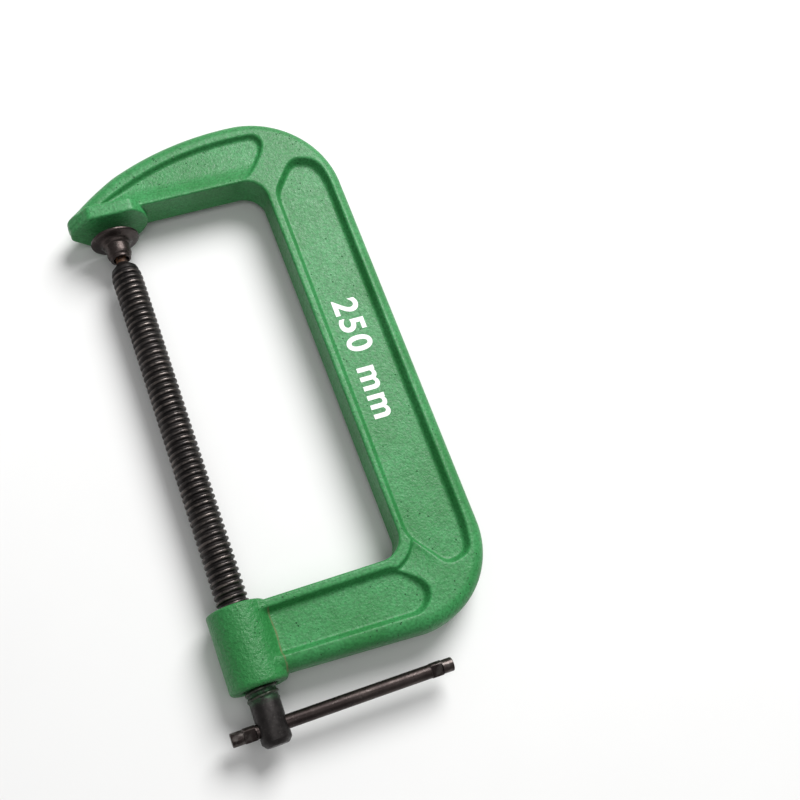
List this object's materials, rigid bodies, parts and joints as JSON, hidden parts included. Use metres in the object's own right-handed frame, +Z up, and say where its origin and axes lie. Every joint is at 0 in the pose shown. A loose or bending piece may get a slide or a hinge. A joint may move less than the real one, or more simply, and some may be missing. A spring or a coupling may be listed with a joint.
{
  "type": "g-clamp",
  "caption": "G-clamp (C-clamp) with a cast frame, trapezoidal screw, swivel pad and sliding tommy bar, for fixing stage equipment and set pieces.",
  "frame": {"origin": "middle of the underside of the bounding box, with the clamp lying on its side", "axes": "+Y along the screw, from the handle towards the anvil jaw; +Z up, out of the casting's flat face; +X from the screw towards the spine"},
  "size_m": [0.186, 0.4028, 0.036],
  "materials": {
    "green_paint": "semi-gloss green enamel over cast iron",
    "screw_steel": "black oxide, worn bright on the thread crests",
    "pad_steel": "black oxide, satin",
    "bar_steel": "black oxide, satin"
  },
  "bodies": {
    "frame": {"frame_casting": "green_paint"},
    "pad": {"swivel_pad": "pad_steel"},
    "spindle": {"spindle": "screw_steel"},
    "tommy_bar": {"tommy_bar": "bar_steel"}
  },
  "joints": [
    {"name": "spindle_travel", "type": "slide", "parent": "frame", "child": "pad", "axis": [0, 1, 0], "range_m": [-0.2421, 0.0081]},
    {"name": "spindle_turn", "type": "hinge", "parent": "pad", "child": "spindle", "pos_m": [-0.06645, 0.13165, 0.018], "axis": [0, 1, 0], "range_deg": [-21780, 720]},
    {"name": "handle_slide", "type": "slide", "parent": "spindle", "child": "tommy_bar", "axis": [1, 0, 0], "range_m": [-0.089, 0]}
  ],
  "couplings": [
    {"joint": "spindle_travel", "follows": "spindle_turn", "m_per_rad": 0.00063662}
  ]
}
